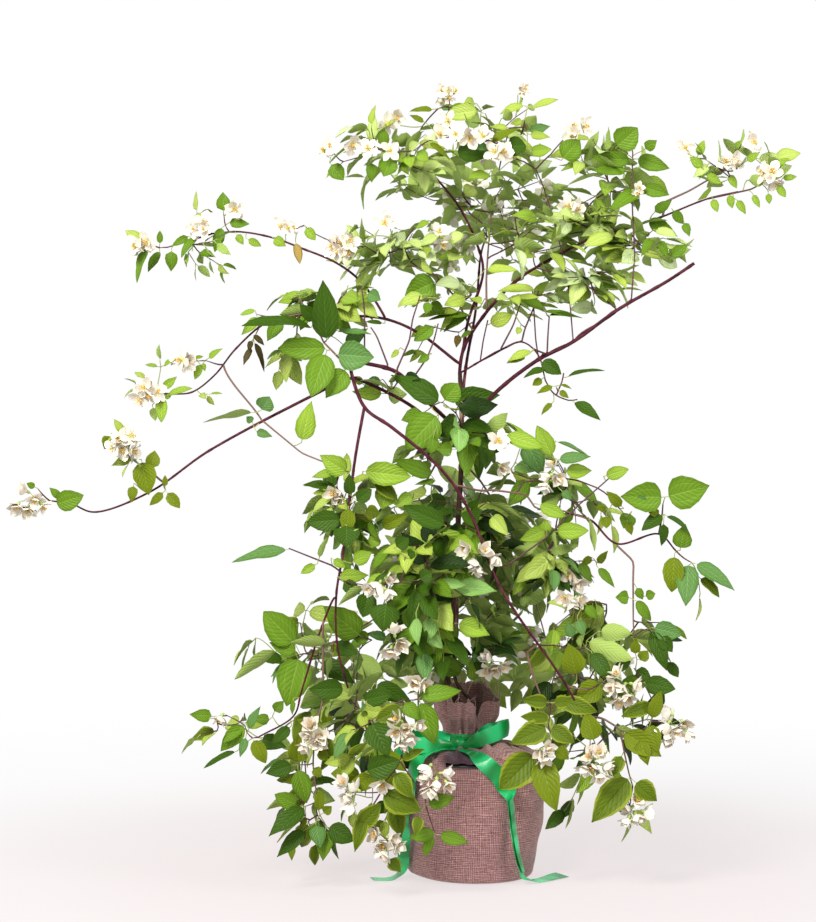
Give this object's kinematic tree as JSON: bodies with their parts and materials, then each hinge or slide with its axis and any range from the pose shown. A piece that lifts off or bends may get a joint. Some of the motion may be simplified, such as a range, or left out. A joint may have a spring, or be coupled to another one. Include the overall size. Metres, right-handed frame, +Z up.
{
  "type": "potted mock orange shrub",
  "caption": "Mock orange shrub in flower, with open arching stems, opposite leaves and white blossom sprays, in a round pot wrapped in tied burlap.",
  "frame": {"origin": "centre of the burlap sack's flat underside, on the surface that the plant stands on", "axes": "+Z up, +X to the side of the cut bough, -Y the side with the bow"},
  "size_m": [1.0474, 0.4556, 1.0686],
  "materials": {
    "leaf": "satin",
    "blossom": "matte",
    "bark": "matte",
    "young_bark": "satin",
    "burlap": "matte",
    "ribbon": "satin",
    "pot": "satin",
    "compost": "matte"
  },
  "bodies": {
    "root": {"crown_centre": "leaf", "crown_top_left": "leaf", "crown_top_middle": "leaf", "crown_top_right": "leaf", "crown_left_inner": "leaf", "crown_right_low": "leaf", "crown_back": "leaf", "right_spray": "leaf", "left_spray_top": "leaf", "left_spray_middle": "leaf", "left_spray_low": "leaf", "left_inner_leaves": "leaf", "hanging_spray": "leaf", "core_top": "leaf", "core_middle": "leaf", "core_low": "leaf", "core_back": "leaf", "core_front": "leaf", "left_middle": "leaf", "left_single_spray": "leaf", "left_lower": "leaf", "left_bottom_outer": "leaf", "left_bottom": "leaf", "front_bottom": "leaf", "back_left_low": "leaf", "back_right_low": "leaf", "right_middle": "leaf", "right_outer_top": "leaf", "right_outer_low": "leaf", "right_lower": "leaf", "right_bottom": "leaf", "left_flower_tip": "blossom", "main_stem": "bark", "second_stem": "bark", "cut_bough": "young_bark", "long_bough_outer": "young_bark", "weeping_bough": "young_bark", "drooping_bough": "young_bark", "fork_right": "young_bark", "fork_left": "young_bark", "long_bough_inner": "young_bark", "hairpin_bough": "young_bark", "left_arch_inner": "young_bark", "left_arch_outer": "young_bark", "left_top_bough": "young_bark", "right_tip_bough": "young_bark", "hanging_shoot": "young_bark", "right_outer_bough": "young_bark", "lower_left_bough": "young_bark", "back_bough": "young_bark", "sack": "burlap", "nursery_pot": "pot", "compost": "compost", "ribbon_band": "ribbon", "bow_knot": "ribbon", "bow_loop_right": "ribbon", "bow_loop_left": "ribbon", "ribbon_tail_right": "ribbon", "ribbon_tail_left": "ribbon"}
  },
  "joints": []
}
